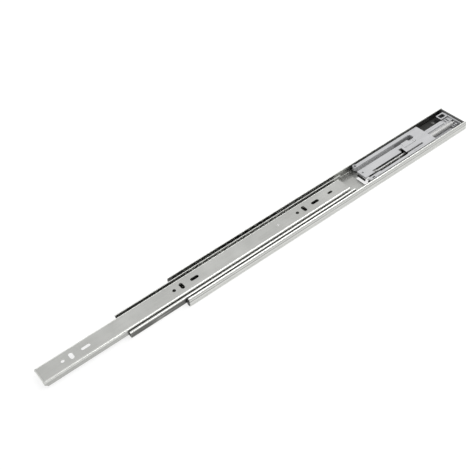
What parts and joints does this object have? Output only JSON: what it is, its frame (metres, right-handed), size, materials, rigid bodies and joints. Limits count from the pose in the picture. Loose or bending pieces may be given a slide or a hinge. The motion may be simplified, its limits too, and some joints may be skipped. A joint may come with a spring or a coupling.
{
  "type": "cabinet drawer slide",
  "caption": "Full-extension ball-bearing drawer slide with three telescoping steel members and a grey plastic soft-close unit at the rear, shown half open.",
  "frame": {"origin": "on the cabinet member's back face, at its centre line and its front end", "axes": "+X along the slide towards its rear (closing direction), +Y across it to the left seen from the front, +Z away from the cabinet side towards the drawer"},
  "size_m": [0.626, 0.045, 0.0127],
  "materials": {
    "zinc_steel": "zinc-plated cold-rolled steel, satin",
    "bright_steel": "bright machined steel",
    "spring_steel": "spring wire",
    "cage_steel": "zinc-plated strip",
    "ball_steel": "hardened ball steel",
    "grey_plastic": "light grey moulded acetal",
    "black_plastic": "black moulded plastic",
    "black_rubber": "black soft buffer"
  },
  "bodies": {
    "cabinet": {"cabinet_member": "zinc_steel", "front_stop_left": "black_plastic", "front_stop_right": "black_plastic", "damper_base": "black_plastic", "base_rivets": "bright_steel", "damper_saddle": "grey_plastic", "rear_buffer": "black_rubber", "damper_cylinder": "bright_steel", "damper_gland": "black_plastic", "damper_end_cap": "bright_steel", "spring_cover": "grey_plastic", "spring_post": "bright_steel", "closing_spring": "spring_steel", "snap_clip": "grey_plastic"},
    "carriage": {"carriage": "grey_plastic", "carriage_buffers": "black_rubber", "catch_pin": "bright_steel", "damper_rod": "bright_steel", "damper_piston": "black_plastic", "rod_clip": "bright_steel"},
    "catch_lever": {"catch_lever": "grey_plastic"},
    "intermediate": {"intermediate_member": "zinc_steel"},
    "outer_cage": {"outer_cage": "cage_steel", "outer_balls": "ball_steel"},
    "inner_cage": {"inner_cage": "cage_steel", "inner_balls": "ball_steel"},
    "drawer": {"drawer_member": "zinc_steel", "striker": "bright_steel", "striker_rivets": "bright_steel", "release_rivet": "bright_steel"},
    "release_lever": {"release_lever": "black_plastic"}
  },
  "joints": [
    {"name": "soft_close_stroke", "type": "slide", "parent": "cabinet", "child": "carriage", "axis": [1, 0, 0], "range_m": [0, 0.05], "deforming": ["closing_spring"]},
    {"name": "catch_lever_pivot", "type": "hinge", "parent": "carriage", "child": "catch_lever", "pos_m": [0.3738, 0.0004, 0.0107], "axis": [0, 0, 1], "range_deg": [0, 8]},
    {"name": "intermediate_slide", "type": "slide", "parent": "carriage", "child": "intermediate", "axis": [1, 0, 0], "range_m": [-0.147, 0.022]},
    {"name": "drawer_slide", "type": "slide", "parent": "intermediate", "child": "drawer", "axis": [1, 0, 0], "range_m": [-0.129, 0.104]},
    {"name": "outer_cage_slide", "type": "slide", "parent": "cabinet", "child": "outer_cage", "axis": [1, 0, 0], "range_m": [-0.0735, 0.011]},
    {"name": "inner_cage_slide", "type": "slide", "parent": "intermediate", "child": "inner_cage", "axis": [1, 0, 0], "range_m": [-0.0645, 0.052]},
    {"name": "release_lever_pivot", "type": "hinge", "parent": "drawer", "child": "release_lever", "pos_m": [0.146, 0, 0.0101], "axis": [0, 0, 1], "range_deg": [-5, 5]}
  ],
  "couplings": [
    {"joint": "outer_cage_slide", "follows": "intermediate_slide", "ratio": 0.5},
    {"joint": "inner_cage_slide", "follows": "drawer_slide", "ratio": 0.5}
  ]
}
